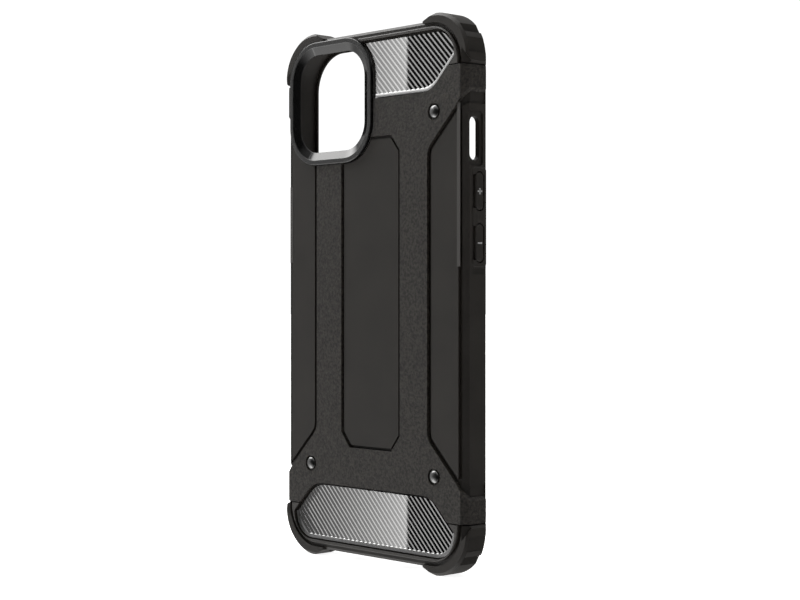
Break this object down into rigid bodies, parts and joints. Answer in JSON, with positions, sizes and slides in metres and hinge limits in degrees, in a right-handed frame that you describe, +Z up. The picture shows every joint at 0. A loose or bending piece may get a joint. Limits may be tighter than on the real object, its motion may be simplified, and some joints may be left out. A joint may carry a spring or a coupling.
{
  "type": "phone case",
  "caption": "Two-layer rugged phone case: soft inner sleeve with corner bumpers and side buttons, hard armour plate over the back, square camera ring and ribbed glossy insets.",
  "frame": {"origin": "centre of the case's bounding box", "axes": "+Z up the length of the case towards the camera end, +X towards the side with the volume buttons, -Y out of the back (camera side), +Y out of the open front"},
  "size_m": [0.0778, 0.0112, 0.1548],
  "materials": {
    "sleeve_soft": "matt soft-touch elastomer with a fine grain",
    "armor_hard": "hard plastic with a fine speckled texture",
    "ring_gloss": "polished dark plastic",
    "inset_gloss": "gloss black plastic with diagonal ribs",
    "rivet_dark": "dark satin metal dome",
    "button_soft": "matt soft-touch elastomer"
  },
  "bodies": {
    "case": {"inner_sleeve": "sleeve_soft", "armor_plate": "armor_hard", "camera_ring": "ring_gloss", "upper_inset": "inset_gloss", "lower_inset": "inset_gloss", "rivet_upper_right": "rivet_dark", "rivet_lower_left": "rivet_dark", "rivet_lower_right": "rivet_dark"},
    "volume_up": {"volume_up_button": "button_soft"},
    "volume_down": {"volume_down_button": "button_soft"},
    "power": {"power_button": "button_soft"}
  },
  "joints": [
    {"name": "volume_up_press", "type": "slide", "parent": "case", "child": "volume_up", "axis": [-1, 0, 0], "range_m": [0, 0.0004], "stiffness_N_per_m": 2000},
    {"name": "volume_down_press", "type": "slide", "parent": "case", "child": "volume_down", "axis": [-1, 0, 0], "range_m": [0, 0.0004], "stiffness_N_per_m": 2000},
    {"name": "power_press", "type": "slide", "parent": "case", "child": "power", "axis": [1, 0, 0], "range_m": [0, 0.0004], "stiffness_N_per_m": 2000}
  ]
}
